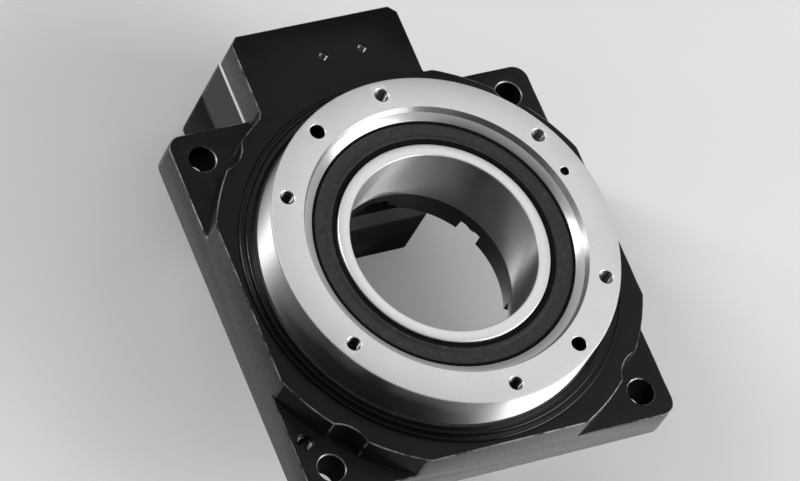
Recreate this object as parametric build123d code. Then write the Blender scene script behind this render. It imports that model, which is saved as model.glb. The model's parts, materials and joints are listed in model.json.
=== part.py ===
"""Hollow rotary platform with a geared, crossed-roller table and a 60 mm motor adapter.

Frame: the origin is on the bore axis, in the plane of the mounting face under the base.
+Z points up to the table face and +Y to the motor adapter. Millimetres.
"""

import os
from math import atan2, cos, degrees, pi, radians, sin, sqrt, tan

from build123d import *

# Gears
MODULE = 1.0
GEAR_TEETH = 110
PINION_TEETH = 11
PRESSURE_ANGLE = 20.0
PROFILE_SHIFT = 0.4
BACKLASH = 0.14
GEAR_WIDTH = 8.0
GEAR_FLOOR_GAP = 1.0
GEAR_SCREW_D = 4.0
GEAR_SCREW_COUNT = 6
GEAR_SCREW_GRIP = 11.0

# Base and body
BASE_CORNER_R = 5.0
BODY_ROUND_EXTRA = 5.6
BODY_RIM = 1.6
EAR_HEIGHT = 13.0
BODY_HEIGHT = 23.0
FLOOR_TOP = 10.5

# Mounting ears
EAR_INSET = 9.5
EAR_HOLE_D = 9.0
EAR_BITE_R = 10.0
EAR_PORT_D = 5.0
EAR_PORT_INSET_X = 4.5
EAR_PORT_INSET_Y = 19.7

# Rotating table
TABLE_OVERHANG = 1.9
TABLE_STEP_DEPTH = 2.1
TABLE_STEP_WIDTH = 0.9
TABLE_LEDGE_WIDTH = 2.6
TABLE_LIP = 1.6
TABLE_EDGE = 0.5
TABLE_TAP_D = 4.5
TABLE_TAP_DEPTH = 11.0
TABLE_TAP_INSET = 5.0
TABLE_TAP_COUNT = 6
TABLE_TAP_ANGLE = 31.6
TABLE_DOWEL_D = 5.0
TABLE_DOWEL_DEPTH = 7.0
TABLE_DOWEL_ANGLE = 121.6
TABLE_INDEX_D = 3.0
TABLE_INDEX_INSET = 7.5
TABLE_INDEX_ANGLE = 15.6

# Fixed sleeve through the middle
BORE_D = 62.0
SLEEVE_WALL = 4.0
SLEEVE_SPIGOT = 0.5
SLEEVE_FOOT_WALL = 9.0
SLEEVE_SHOULDER = 2.6
SLEEVE_SCREW_D = 4.0
SLEEVE_SCREW_COUNT = 6
SLEEVE_SCREW_LENGTH = 12.0
SLEEVE_NOTCH_DEPTH = 4.6
SLEEVE_NOTCH_R = 4.1
FLOOR_BORE_EXTRA = 0.5

# Crossed-roller bearing
BEARING_RADIAL = 10.0
BEARING_WIDTH = 10.0
BEARING_SPLIT = 1.0
ROLLER_D = 5.0
ROLLER_COUNT = 32
CIRCLIP_THICKNESS = 1.2
CIRCLIP_DEPTH = 1.0
CIRCLIP_RADIAL = 3.4
CIRCLIP_OPENING = 3.5

# Seals and dust ring
SEAL_THICKNESS = 3.5
SEAL_CLIP_GAP = 0.7
DUST_RING_RADIAL = 5.4
DUST_RING_SINK = 1.5
DUST_RING_RISE = 1.3
TABLE_GAP = 0.5

# Motor block: where the pinion stands, and the three layers under the body
BLOCK_OFFSET_X = -5.5
FLANGE_SIDE = 60.0
FLANGE_CORNER_R = 3.0
BLOCK_CORNER = 2.5
BLOCK_FILLET_R = 4.0
BLOCK_BOTTOM_Z = 10.75
SHIM_THICKNESS = 1.5
CARRIER_BOTTOM_Z = -10.0
CARRIER_RECESS = 0.5
CARRIER_RECESS_GAP = 0.1
GASKET_THICKNESS = 0.8
GASKET_INSET = 0.6
ADAPTER_HEIGHT = 22.2
SENSOR_HOLE_SPACING = 14.0
SENSOR_HOLE_X = 0.3
SENSOR_HOLE_INSET = 13.0
SENSOR_HOLE_D = 3.0
SENSOR_HOLE_DEPTH = 6.0

# Pinion shaft and its two ball bearings
JOURNAL_R = 7.5
BALL_BEARING_RADIAL = 6.5
BALL_BEARING_WIDTH = 7.0
BALL_D = 4.2
BALL_COUNT = 8
BEARING_SPACER_LENGTH = 4.0
BEARING_SHOULDER = 1.6
CARRIER_BOSS_WALL = 3.0
PINION_CLIP_THICKNESS = 1.0
PINION_CLIP_GRIP = 0.7
PINION_CLIP_LAND = 1.7
HUB_R = 12.0
MOTOR_SHAFT_D = 14.0

# Motor side of the adapter
MOTOR_PILOT_D = 50.0
MOTOR_PILOT_DEPTH = 3.5
MOTOR_TAP_SPACING = 49.5
MOTOR_TAP_D = 4.5
MOTOR_TAP_DEPTH = 12.0
CLAMP_ROOM = 0.7
COLLAR_WALL = 7.0
COLLAR_WIDTH = 13.0
CLAMP_SLIT = 1.5
CLAMP_SCREW_D = 4.0
CLAMP_SCREW_LENGTH = 11.0
CLAMP_HEAD_X = 5.0
ACCESS_HOLE_R = 4.0
PLUG_STEM = 5.0
PLUG_HEAD = 1.0
PLUG_RIM = 1.2

# Screws and pins that hold the motor block together
CARRIER_SCREW_D = 5.0
CARRIER_SCREW_EDGE = 6.0
ADAPTER_SCREW_D = 3.0
ADAPTER_SCREW_X = 11.5
ADAPTER_SCREW_EDGE = 3.7
ADAPTER_SCREW_LENGTH = 26.0
DOWEL_D = 4.0
DOWEL_LENGTH = 10.0
DOWEL_EDGE = 4.0
DOWEL_SHIFT_Y = 5.0

# Running and seat clearances
RUN_GAP = 0.05
SEAT_GAP = 0.02
SIDE_GAP = 0.5
SCREW_GAP = 0.3


def tapped_r(diameter):
    """Radius of a threaded hole that takes one of this part's own screws."""
    return diameter / 2 + SEAT_GAP


def head_r(diameter):
    """Radius of a socket-head screw's head."""
    return 0.85 * diameter + 0.1


def head_hole_r(diameter):
    """Radius of the counterbore for that head."""
    return head_r(diameter) + SCREW_GAP


# Gear sizes
GEAR_PITCH_R = MODULE * GEAR_TEETH / 2
GEAR_TIP_R = GEAR_PITCH_R + MODULE * (1 - PROFILE_SHIFT)
GEAR_ROOT_R = GEAR_PITCH_R - MODULE * (1.25 + PROFILE_SHIFT)
PINION_PITCH_R = MODULE * PINION_TEETH / 2
PINION_TIP_R = PINION_PITCH_R + MODULE * (1 + PROFILE_SHIFT)
CENTRE_DISTANCE = GEAR_PITCH_R + PINION_PITCH_R
PINION_X = BLOCK_OFFSET_X
PINION_Y = sqrt(CENTRE_DISTANCE**2 - BLOCK_OFFSET_X**2)
PINION_ANGLE = degrees(atan2(PINION_Y, PINION_X))

# Radii, from the bore outwards
BORE_R = BORE_D / 2
FLOOR_BORE_R = BORE_R + FLOOR_BORE_EXTRA
SLEEVE_R = BORE_R + SLEEVE_WALL
SLEEVE_SHOULDER_R = SLEEVE_R + SLEEVE_SHOULDER
SLEEVE_FOOT_R = BORE_R + SLEEVE_FOOT_WALL
SLEEVE_SCREW_R = BORE_R + 1.5 * SLEEVE_SCREW_D
BEARING_R = SLEEVE_R + BEARING_RADIAL
ROLLER_PITCH_R = (SLEEVE_R + BEARING_R) / 2
GEAR_INNER_R = SLEEVE_FOOT_R + 1.6
GEAR_SCREW_R = (BEARING_R + GEAR_ROOT_R) / 2
SEAL_R = BEARING_R - TABLE_LIP
TABLE_STEP_R = SEAL_R + TABLE_LEDGE_WIDTH
TABLE_FACE_INNER_R = TABLE_STEP_R + TABLE_STEP_WIDTH
TABLE_R = GEAR_TIP_R + TABLE_OVERHANG
TABLE_TAP_R = TABLE_R - TABLE_TAP_INSET
TABLE_INDEX_R = TABLE_R - TABLE_INDEX_INSET
CAVITY_R = TABLE_R + 2 * TABLE_GAP
DUST_RING_R = TABLE_R + TABLE_GAP + DUST_RING_RADIAL
BASE_HALF = DUST_RING_R + BODY_RIM
BASE_SIDE = 2 * BASE_HALF
BODY_R = BASE_HALF + BODY_ROUND_EXTRA
EAR_XY = BASE_HALF - EAR_INSET
EAR_POINTS = [(sx * EAR_XY, sy * EAR_XY) for sx in (-1, 1) for sy in (-1, 1)]

# Heights, from the floor of the body upwards
SLEEVE_FOOT_Z = FLOOR_TOP - SLEEVE_SPIGOT
GEAR_BOTTOM_Z = FLOOR_TOP + GEAR_FLOOR_GAP
TABLE_BOTTOM_Z = GEAR_BOTTOM_Z + GEAR_WIDTH
BEARING_BOTTOM_Z = TABLE_BOTTOM_Z + 0.5
BEARING_TOP_Z = BEARING_BOTTOM_Z + BEARING_WIDTH
BEARING_MID_Z = BEARING_BOTTOM_Z + BEARING_WIDTH / 2
SEAL_BOTTOM_Z = BEARING_TOP_Z + CIRCLIP_THICKNESS + SEAL_CLIP_GAP
SEAL_TOP_Z = SEAL_BOTTOM_Z + SEAL_THICKNESS
SLEEVE_TOP_Z = SEAL_TOP_Z + 0.1
LEDGE_Z = SEAL_TOP_Z + 1.0
TABLE_FACE_Z = LEDGE_Z + TABLE_STEP_DEPTH
DUST_RING_SEAT_Z = BODY_HEIGHT - DUST_RING_SINK
DUST_RING_TOP_Z = BODY_HEIGHT + DUST_RING_RISE
GEAR_SCREW_SEAT_Z = GEAR_BOTTOM_Z + GEAR_SCREW_D + 0.2
GEAR_SCREW_TIP_Z = GEAR_SCREW_SEAT_Z + GEAR_SCREW_GRIP

# Heights, from the floor of the body downwards
BOSS_TOP_Z = FLOOR_TOP - 0.1
CARRIER_STEP_Z = BLOCK_BOTTOM_Z - SHIM_THICKNESS
ADAPTER_TOP_Z = CARRIER_BOTTOM_Z - GASKET_THICKNESS
ADAPTER_BOTTOM_Z = ADAPTER_TOP_Z - ADAPTER_HEIGHT
PINION_BOTTOM_Z = GEAR_BOTTOM_Z - 0.3
PINION_WIDTH = TABLE_BOTTOM_Z - 0.3 - PINION_BOTTOM_Z
BALL_BEARING_R = JOURNAL_R + BALL_BEARING_RADIAL
BALL_PITCH_R = (JOURNAL_R + BALL_BEARING_R) / 2
CARRIER_BOSS_R = BALL_BEARING_R + CARRIER_BOSS_WALL
UPPER_BEARING_TOP_Z = BOSS_TOP_Z - 1.6
UPPER_BEARING_Z = UPPER_BEARING_TOP_Z - BALL_BEARING_WIDTH
LOWER_BEARING_Z = UPPER_BEARING_Z - BEARING_SPACER_LENGTH - BALL_BEARING_WIDTH
HUB_TOP_Z = ADAPTER_TOP_Z - 0.6
HUB_BOTTOM_Z = ADAPTER_BOTTOM_Z + MOTOR_PILOT_DEPTH + 0.7
COLLAR_R = HUB_R + COLLAR_WALL
COLLAR_MID_Z = HUB_BOTTOM_Z + 0.6 + COLLAR_WIDTH / 2
CLAMP_SCREW_Y = HUB_R + CLAMP_SCREW_D / 2 + 0.7
CLAMP_HEAD_END_X = CLAMP_HEAD_X + CLAMP_SCREW_D
CLAMP_HEAD_REACH = sqrt(CLAMP_HEAD_END_X**2 + (CLAMP_SCREW_Y + head_r(CLAMP_SCREW_D)) ** 2)
ADAPTER_CAVITY_R = max(COLLAR_R, CLAMP_HEAD_REACH) + CLAMP_ROOM
CARRIER_SCREW_OFFSET = FLANGE_SIDE / 2 - CARRIER_SCREW_EDGE
ADAPTER_SCREW_Y = FLANGE_SIDE / 2 - ADAPTER_SCREW_EDGE
DOWEL_X = FLANGE_SIDE / 2 - DOWEL_EDGE
CARRIER_SCREW_SEAT_Z = CARRIER_BOTTOM_Z + CARRIER_SCREW_D + 0.3
ADAPTER_SCREW_SEAT_Z = ADAPTER_BOTTOM_Z + ADAPTER_SCREW_D + 0.3
ADAPTER_SCREW_TIP_Z = ADAPTER_SCREW_SEAT_Z + ADAPTER_SCREW_LENGTH
DOWEL_TOP_Z = (CARRIER_BOTTOM_Z + ADAPTER_TOP_Z + DOWEL_LENGTH) / 2
DOWEL_BOTTOM_Z = DOWEL_TOP_Z - DOWEL_LENGTH


def ring(outer_r, inner_r, bottom, top):
    """Plain ring on the bore axis."""
    height = top - bottom
    solid = Cylinder(outer_r, height, align=(Align.CENTER, Align.CENTER, Align.MIN))
    hole = Cylinder(inner_r, height, align=(Align.CENTER, Align.CENTER, Align.MIN))
    return Pos(0, 0, bottom) * (solid - hole)


def rod(radius, bottom, top):
    """Plain cylinder on the bore axis."""
    return Pos(0, 0, bottom) * Cylinder(radius, top - bottom, align=(Align.CENTER, Align.CENTER, Align.MIN))


def turned(points):
    """Solid of revolution about Z from (radius, height) corners."""
    return revolve(Plane.XZ * make_face(Polyline(*points, close=True)), Axis.Z)


def at_pinion(shape):
    """Move a shape from the bore axis to the pinion axis."""
    return Pos(PINION_X, PINION_Y, 0) * shape


def polar(radius, angle):
    """Point on a circle about the bore axis."""
    return radius * cos(radians(angle)), radius * sin(radians(angle))


def socket_screw(diameter, length, head_start):
    """Socket-head screw whose shank runs upward. The head's outer face lies at head_start."""
    head = rod(head_r(diameter), 0, diameter)
    head = chamfer(head.edges().group_by(Axis.Z)[0], 0.08 * diameter)
    key = extrude(RegularPolygon(0.42 * diameter, 6), 0.55 * diameter)
    screw = head + rod(diameter / 2, diameter, diameter + length) - key
    return Pos(0, 0, head_start) * screw


def group(shapes):
    """Separate solids kept together in one sub-part."""
    return Compound(children=[solid for shape in shapes for solid in shape.solids()])


def flange_plan(grow=0.0):
    """Square flange outline about the pinion axis, grown by that much all round."""
    side = FLANGE_SIDE + 2 * grow
    return Pos(PINION_X, PINION_Y) * RectangleRounded(side, side, FLANGE_CORNER_R + grow)


def behind_base():
    """Everything that stands behind the base's back edge."""
    return Pos(PINION_X, BASE_HALF + SEAT_GAP, 0) * Box(
        4 * FLANGE_SIDE, FLANGE_SIDE, 4 * BASE_SIDE, align=(Align.CENTER, Align.MIN, Align.CENTER)
    )


def carrier_screw_points():
    return [(PINION_X + sx * CARRIER_SCREW_OFFSET, PINION_Y + sy * CARRIER_SCREW_OFFSET)
            for sx in (-1, 1) for sy in (-1, 1)]


def adapter_screw_points():
    return [(PINION_X + sx * ADAPTER_SCREW_X, PINION_Y + sy * ADAPTER_SCREW_Y)
            for sx in (-1, 1) for sy in (-1, 1)]


def motor_tap_points():
    half = MOTOR_TAP_SPACING / 2
    return [(PINION_X + sx * half, PINION_Y + sy * half) for sx in (-1, 1) for sy in (-1, 1)]


def dowel_points():
    return [(PINION_X - DOWEL_X, PINION_Y), (PINION_X + DOWEL_X, PINION_Y - DOWEL_SHIFT_Y)]


def carrier_screw_top(y):
    """Where a carrier screw's thread ends: in the block behind the base, or in the floor of the base."""
    if y > BASE_HALF:
        return BODY_HEIGHT - 4.0
    return FLOOR_TOP - 2.5


def make_housing():
    plan = RectangleRounded(BASE_SIDE, BASE_SIDE, BASE_CORNER_R)
    base = extrude(plan, EAR_HEIGHT)

    block = Pos(PINION_X, PINION_Y) * Rectangle(FLANGE_SIDE, FLANGE_SIDE)
    block = chamfer(block.vertices().group_by(Axis.Y)[-1], BLOCK_CORNER)
    upper = Circle(BODY_R) & Rectangle(BASE_SIDE, BASE_SIDE)
    upper = upper + block
    left = PINION_X - FLANGE_SIDE / 2
    inner_corner = [v for v in upper.vertices() if abs(v.X - left) < 0.01 and v.Y < BASE_HALF]
    upper = fillet(inner_corner, BLOCK_FILLET_R)
    body = base + Pos(0, 0, BLOCK_BOTTOM_Z) * extrude(upper, BODY_HEIGHT - BLOCK_BOTTOM_Z)

    # Ears: bolt holes and the bites that clear the bolt heads
    for x, y in EAR_POINTS:
        body -= Pos(x, y, 0) * rod(EAR_HOLE_D / 2, -1, BODY_HEIGHT)
        body -= Pos(x, y, 0) * rod(EAR_BITE_R, EAR_HEIGHT, BODY_HEIGHT + 1)
    port_x, port_y = EAR_PORT_INSET_X - BASE_HALF, EAR_PORT_INSET_Y - BASE_HALF
    body -= Pos(port_x, port_y, 0) * rod(EAR_PORT_D / 2, -1, BODY_HEIGHT)

    # Cavity for the gear, the pinion's pocket and the opening for the bearing carrier
    body -= rod(CAVITY_R, FLOOR_TOP, DUST_RING_SEAT_Z + 1)
    body -= rod(DUST_RING_R, DUST_RING_SEAT_Z, BODY_HEIGHT + 1)
    body -= at_pinion(rod(PINION_TIP_R + 1.6, FLOOR_TOP - 1, TABLE_BOTTOM_Z + SIDE_GAP))
    body -= at_pinion(rod(CARRIER_BOSS_R + SEAT_GAP, -1, FLOOR_TOP))
    body -= Pos(0, 0, -1) * extrude(flange_plan(CARRIER_RECESS_GAP), 1 + CARRIER_RECESS)

    # Floor: through bore, seat of the sleeve and the notches for the sleeve's screw heads
    body -= rod(FLOOR_BORE_R, -1, FLOOR_TOP + 1)
    body -= rod(SLEEVE_FOOT_R + SEAT_GAP, SLEEVE_FOOT_Z, FLOOR_TOP + 1)
    for i in range(SLEEVE_SCREW_COUNT):
        angle = 30 + i * 360 / SLEEVE_SCREW_COUNT
        notch = Pos(SLEEVE_SCREW_R, 0, 0) * rod(SLEEVE_NOTCH_R, -1, SLEEVE_NOTCH_DEPTH)
        notch += Pos(SLEEVE_SCREW_R / 2, 0, -1) * Box(
            SLEEVE_SCREW_R,
            2 * SLEEVE_NOTCH_R,
            SLEEVE_NOTCH_DEPTH + 1,
            align=(Align.CENTER, Align.CENTER, Align.MIN),
        )
        notch += Pos(SLEEVE_SCREW_R, 0, 0) * rod(SLEEVE_SCREW_D / 2 + SCREW_GAP, 0, FLOOR_TOP)
        body -= Rot(0, 0, angle) * notch

    # Threads for the carrier screws and the two sensor screws on the block
    for x, y in carrier_screw_points():
        body -= Pos(x, y, 0) * rod(tapped_r(CARRIER_SCREW_D), -1, carrier_screw_top(y) + 0.5)
    for side in (-1, 1):
        x = SENSOR_HOLE_X + side * SENSOR_HOLE_SPACING / 2
        y = PINION_Y + FLANGE_SIDE / 2 - SENSOR_HOLE_INSET
        body -= Pos(x, y, 0) * rod(SENSOR_HOLE_D / 2, BODY_HEIGHT - SENSOR_HOLE_DEPTH, BODY_HEIGHT + 1)
    return body


def make_dust_ring():
    inner = TABLE_R + TABLE_GAP
    outer = DUST_RING_R - SEAT_GAP
    seat, top = DUST_RING_SEAT_Z, DUST_RING_TOP_Z
    return turned([
        (inner, seat), (outer, seat), (outer, top - 0.7), (outer - 0.4, top - 0.3), (outer - 1.0, top - 0.3),
        (outer - 1.2, top - 0.9), (outer - 2.0, top - 0.9), (outer - 2.2, top - 0.2), (outer - 2.5, top),
        (inner + 1.2, top), (inner + 0.6, top - 0.4), (inner + 0.6, seat + 1.9), (inner + 1.6, seat + 1.9),
        (inner + 1.6, seat + 0.8), (inner, seat + 0.8),
    ])


def make_wiper():
    inner = TABLE_R + TABLE_GAP
    seat = DUST_RING_SEAT_Z
    return turned([
        (TABLE_R + RUN_GAP, seat + 2.3), (inner + 0.58, seat + 1.88), (inner + 1.58, seat + 1.88),
        (inner + 1.58, seat + 0.82), (inner + 0.3, seat + 0.82), (inner - 0.1, seat + 1.4),
        (TABLE_R + RUN_GAP, seat + 2.0),
    ])


def make_table():
    table = turned([
        (TABLE_FACE_INNER_R, TABLE_FACE_Z), (TABLE_STEP_R, LEDGE_Z), (SEAL_R + 0.25, SEAL_TOP_Z + 0.1),
        (SEAL_R, SEAL_TOP_Z - 0.15), (SEAL_R, BEARING_TOP_Z),
        (BEARING_R, BEARING_TOP_Z), (BEARING_R, TABLE_BOTTOM_Z),
        (TABLE_R, TABLE_BOTTOM_Z), (TABLE_R, TABLE_FACE_Z - TABLE_EDGE), (TABLE_R - TABLE_EDGE, TABLE_FACE_Z),
    ])
    face = TABLE_FACE_Z
    for i in range(TABLE_TAP_COUNT):
        x, y = polar(TABLE_TAP_R, TABLE_TAP_ANGLE + i * 360 / TABLE_TAP_COUNT)
        table -= Pos(x, y, 0) * rod(TABLE_TAP_D / 2, face - TABLE_TAP_DEPTH, face + 1)
    for half_turn in (0, 180):
        x, y = polar(TABLE_TAP_R, TABLE_DOWEL_ANGLE + half_turn)
        table -= Pos(x, y, 0) * rod(TABLE_DOWEL_D / 2, face - TABLE_DOWEL_DEPTH, face + 1)
    x, y = polar(TABLE_INDEX_R, TABLE_INDEX_ANGLE)
    table -= Pos(x, y, 0) * rod(TABLE_INDEX_D / 2, face - TABLE_DOWEL_DEPTH, face + 1)
    for x, y in gear_screw_points():
        table -= Pos(x, y, 0) * rod(tapped_r(GEAR_SCREW_D), TABLE_BOTTOM_Z - 1, GEAR_SCREW_TIP_Z + 0.5)
    return table


def gear_screw_points():
    first = TABLE_TAP_ANGLE - 180 / TABLE_TAP_COUNT
    return [polar(GEAR_SCREW_R, first + i * 360 / GEAR_SCREW_COUNT) for i in range(GEAR_SCREW_COUNT)]


def make_table_seal():
    top, bottom = SEAL_TOP_Z, SEAL_BOTTOM_Z
    lip = SLEEVE_R + RUN_GAP
    return turned([
        (SEAL_R - SEAT_GAP, bottom), (SEAL_R - SEAT_GAP, top - 0.3), (SEAL_R - 0.3, top), (SEAL_R - 0.9, top),
        (SEAL_R - 1.2, top - 0.35), (lip + 2.6, top - 0.35), (lip + 2.2, top), (lip + 1.5, top),
        (lip + 0.5, top - 0.6), (lip, top - 1.0), (lip, top - 1.3),
        (lip + 0.9, top - 1.5), (lip + 2.6, top - 1.5),
        (lip + 3.4, bottom),
    ])


def make_sleeve():
    edge = 0.35
    clip_top = BEARING_TOP_Z + CIRCLIP_THICKNESS
    sleeve = turned([
        (BORE_R, SLEEVE_FOOT_Z), (SLEEVE_FOOT_R, SLEEVE_FOOT_Z), (SLEEVE_FOOT_R, BEARING_BOTTOM_Z - 2.2),
        (SLEEVE_SHOULDER_R, BEARING_BOTTOM_Z - 1.2), (SLEEVE_SHOULDER_R, BEARING_BOTTOM_Z),
        (SLEEVE_R, BEARING_BOTTOM_Z), (SLEEVE_R, BEARING_TOP_Z), (SLEEVE_R - CIRCLIP_DEPTH, BEARING_TOP_Z),
        (SLEEVE_R - CIRCLIP_DEPTH, clip_top), (SLEEVE_R, clip_top), (SLEEVE_R, SLEEVE_TOP_Z - edge),
        (SLEEVE_R - edge, SLEEVE_TOP_Z), (BORE_R + 0.5, SLEEVE_TOP_Z), (BORE_R, SLEEVE_TOP_Z - 0.5),
    ])
    thread_top = SLEEVE_NOTCH_DEPTH + SLEEVE_SCREW_LENGTH + 0.5
    for i in range(SLEEVE_SCREW_COUNT):
        x, y = polar(SLEEVE_SCREW_R, 30 + i * 360 / SLEEVE_SCREW_COUNT)
        sleeve -= Pos(x, y, 0) * rod(tapped_r(SLEEVE_SCREW_D), SLEEVE_FOOT_Z - 1, thread_top)
    return sleeve


def groove_half():
    """Half diagonal of the square that the crossed rollers fill."""
    return ROLLER_D / sqrt(2) + RUN_GAP


def make_bearing_outer():
    land = ROLLER_PITCH_R + BEARING_SPLIT
    apex = ROLLER_PITCH_R + groove_half()
    half = apex - land
    return turned([
        (land, BEARING_BOTTOM_Z), (BEARING_R - SEAT_GAP, BEARING_BOTTOM_Z),
        (BEARING_R - SEAT_GAP, BEARING_TOP_Z), (land, BEARING_TOP_Z),
        (land, BEARING_MID_Z + half), (apex, BEARING_MID_Z), (land, BEARING_MID_Z - half),
    ])


def make_bearing_inner():
    land = ROLLER_PITCH_R - BEARING_SPLIT
    apex = ROLLER_PITCH_R - groove_half()
    half = land - apex
    seat = SLEEVE_R + SEAT_GAP
    return turned([
        (seat, BEARING_BOTTOM_Z), (land, BEARING_BOTTOM_Z),
        (land, BEARING_MID_Z - half), (apex, BEARING_MID_Z),
        (land, BEARING_MID_Z + half), (land, BEARING_TOP_Z), (seat, BEARING_TOP_Z),
    ])


def make_rollers():
    rollers = []
    for i in range(ROLLER_COUNT):
        tilt = 45 if i % 2 else -45
        roller = Rot(0, tilt, 0) * Cylinder(ROLLER_D / 2 - 0.02, ROLLER_D - 0.25)
        rollers.append(Rot(0, 0, i * 360 / ROLLER_COUNT) * Pos(ROLLER_PITCH_R, 0, BEARING_MID_Z) * roller)
    return group(rollers)


def make_roller_cage():
    wall = BEARING_SPLIT - 0.35
    reach = groove_half() + 0.1
    cage = ring(ROLLER_PITCH_R + wall, ROLLER_PITCH_R - wall, BEARING_MID_Z + reach, BEARING_TOP_Z - 0.5)
    cage += ring(ROLLER_PITCH_R + wall, ROLLER_PITCH_R - wall, BEARING_BOTTOM_Z + 0.5, BEARING_MID_Z - reach)
    for i in range(ROLLER_COUNT):
        post = Pos(ROLLER_PITCH_R, 0, BEARING_MID_Z) * Box(2 * wall - 0.1, 1.2, 2 * reach + 0.4)
        cage += Rot(0, 0, (i + 0.5) * 360 / ROLLER_COUNT) * post
    return cage


def make_bearing_circlip():
    outer = SLEEVE_R - CIRCLIP_DEPTH + CIRCLIP_RADIAL
    low, high = BEARING_TOP_Z + SEAT_GAP, BEARING_TOP_Z + CIRCLIP_THICKNESS - SEAT_GAP
    clip = ring(outer, SLEEVE_R - CIRCLIP_DEPTH + SEAT_GAP, low, high)
    opening = Box(4 * CIRCLIP_RADIAL, CIRCLIP_OPENING, 2 * CIRCLIP_THICKNESS)
    clip -= Pos(outer, 0, (low + high) / 2) * opening
    return clip


def involute(angle):
    return tan(angle) - angle


def gear_outline(teeth, shift, phase, flank_points):
    """Spur gear outline with involute flanks. phase is the angle of a tooth's middle, in degrees."""
    pitch_r = MODULE * teeth / 2
    base_r = pitch_r * cos(radians(PRESSURE_ANGLE))
    tip_r = pitch_r + MODULE * (1 + shift)
    root_r = pitch_r - MODULE * (1.25 - shift)
    thickness = MODULE * (pi / 2 + 2 * shift * tan(radians(PRESSURE_ANGLE))) - BACKLASH / 2
    half_at_pitch = thickness / (2 * pitch_r)
    pitch_inv = involute(radians(PRESSURE_ANGLE))

    def half_angle(radius):
        pressure = sqrt(max(0.0, (radius / base_r) ** 2 - 1))
        return half_at_pitch + pitch_inv - (pressure - atan2(pressure, 1))

    start_r = max(base_r, root_r)
    flank = [start_r + (tip_r - start_r) * k / (flank_points - 1) for k in range(flank_points)]
    tooth = [(root_r, half_angle(start_r))] if root_r < base_r else []
    tooth += [(r, half_angle(r)) for r in flank]
    points = []
    for i in range(teeth):
        middle = radians(phase) + 2 * pi * i / teeth
        points += [(r * cos(middle - a), r * sin(middle - a)) for r, a in tooth]
        points += [(r * cos(middle + a), r * sin(middle + a)) for r, a in reversed(tooth)]
    return make_face(Polyline(*points, close=True))


def make_ring_gear():
    # A gap between two teeth faces the pinion.
    phase = PINION_ANGLE + 180 / GEAR_TEETH
    gear = Pos(0, 0, GEAR_BOTTOM_Z) * extrude(gear_outline(GEAR_TEETH, -PROFILE_SHIFT, phase, 3), GEAR_WIDTH)
    gear -= rod(GEAR_INNER_R, GEAR_BOTTOM_Z - 1, TABLE_BOTTOM_Z + 1)
    gear += ring(BEARING_R - 2 * SEAT_GAP, GEAR_INNER_R, TABLE_BOTTOM_Z - 1, BEARING_BOTTOM_Z)
    for x, y in gear_screw_points():
        gear -= Pos(x, y, 0) * rod(GEAR_SCREW_D / 2 + SCREW_GAP, GEAR_BOTTOM_Z - 1, TABLE_BOTTOM_Z + 1)
        gear -= Pos(x, y, 0) * rod(head_hole_r(GEAR_SCREW_D), GEAR_BOTTOM_Z - 1, GEAR_SCREW_SEAT_Z)
    return gear


def make_gear_screws():
    screw = socket_screw(GEAR_SCREW_D, GEAR_SCREW_GRIP, GEAR_SCREW_SEAT_Z - GEAR_SCREW_D)
    return group([Pos(x, y, 0) * screw for x, y in gear_screw_points()])


def make_sleeve_screws():
    screw = socket_screw(SLEEVE_SCREW_D, SLEEVE_SCREW_LENGTH, SLEEVE_NOTCH_DEPTH - SLEEVE_SCREW_D)
    points = [polar(SLEEVE_SCREW_R, 30 + i * 360 / SLEEVE_SCREW_COUNT) for i in range(SLEEVE_SCREW_COUNT)]
    return group([Pos(x, y, 0) * screw for x, y in points])


def make_pinion_shaft():
    phase = PINION_ANGLE + 180
    teeth = extrude(gear_outline(PINION_TEETH, PROFILE_SHIFT, phase, 4), PINION_WIDTH)
    shaft = Pos(0, 0, PINION_BOTTOM_Z) * teeth
    shaft += rod(PINION_PITCH_R, UPPER_BEARING_TOP_Z - 1, PINION_BOTTOM_Z)
    shaft += rod(JOURNAL_R - SEAT_GAP, HUB_TOP_Z - 1, UPPER_BEARING_TOP_Z)
    shaft += rod(JOURNAL_R + BEARING_SHOULDER, HUB_TOP_Z - 1, LOWER_BEARING_Z)
    shaft += rod(HUB_R, HUB_BOTTOM_Z, HUB_TOP_Z)
    shaft -= rod(MOTOR_SHAFT_D / 2, HUB_BOTTOM_Z - 1, HUB_TOP_Z - 1.5)
    for turn in (0, 120, 240):
        slit = Pos(0, HUB_R, HUB_BOTTOM_Z) * Box(CLAMP_SLIT, 2 * HUB_R, 2 * (HUB_TOP_Z - HUB_BOTTOM_Z - 3.5))
        shaft -= Rot(0, 0, turn) * slit
    return at_pinion(shaft)


def make_clamp_collar():
    bottom = COLLAR_MID_Z - COLLAR_WIDTH / 2
    collar = ring(COLLAR_R, HUB_R + SEAT_GAP, bottom, bottom + COLLAR_WIDTH)
    collar -= Pos(0, COLLAR_R, COLLAR_MID_Z) * Box(CLAMP_SLIT, COLLAR_R, 2 * COLLAR_WIDTH)
    bore = Rot(0, 90, 0) * Cylinder(tapped_r(CLAMP_SCREW_D), 4 * COLLAR_R)
    seat = Rot(0, 90, 0) * Cylinder(head_hole_r(CLAMP_SCREW_D), COLLAR_R)
    seat = Pos(CLAMP_HEAD_X + COLLAR_R / 2, 0, 0) * seat
    collar -= Pos(0, CLAMP_SCREW_Y, COLLAR_MID_Z) * (bore + seat)
    return at_pinion(collar)


def make_clamp_screw():
    screw = Rot(0, -90, 0) * socket_screw(CLAMP_SCREW_D, CLAMP_SCREW_LENGTH, 0)
    return at_pinion(Pos(CLAMP_HEAD_X + CLAMP_SCREW_D, CLAMP_SCREW_Y, COLLAR_MID_Z) * screw)


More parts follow.
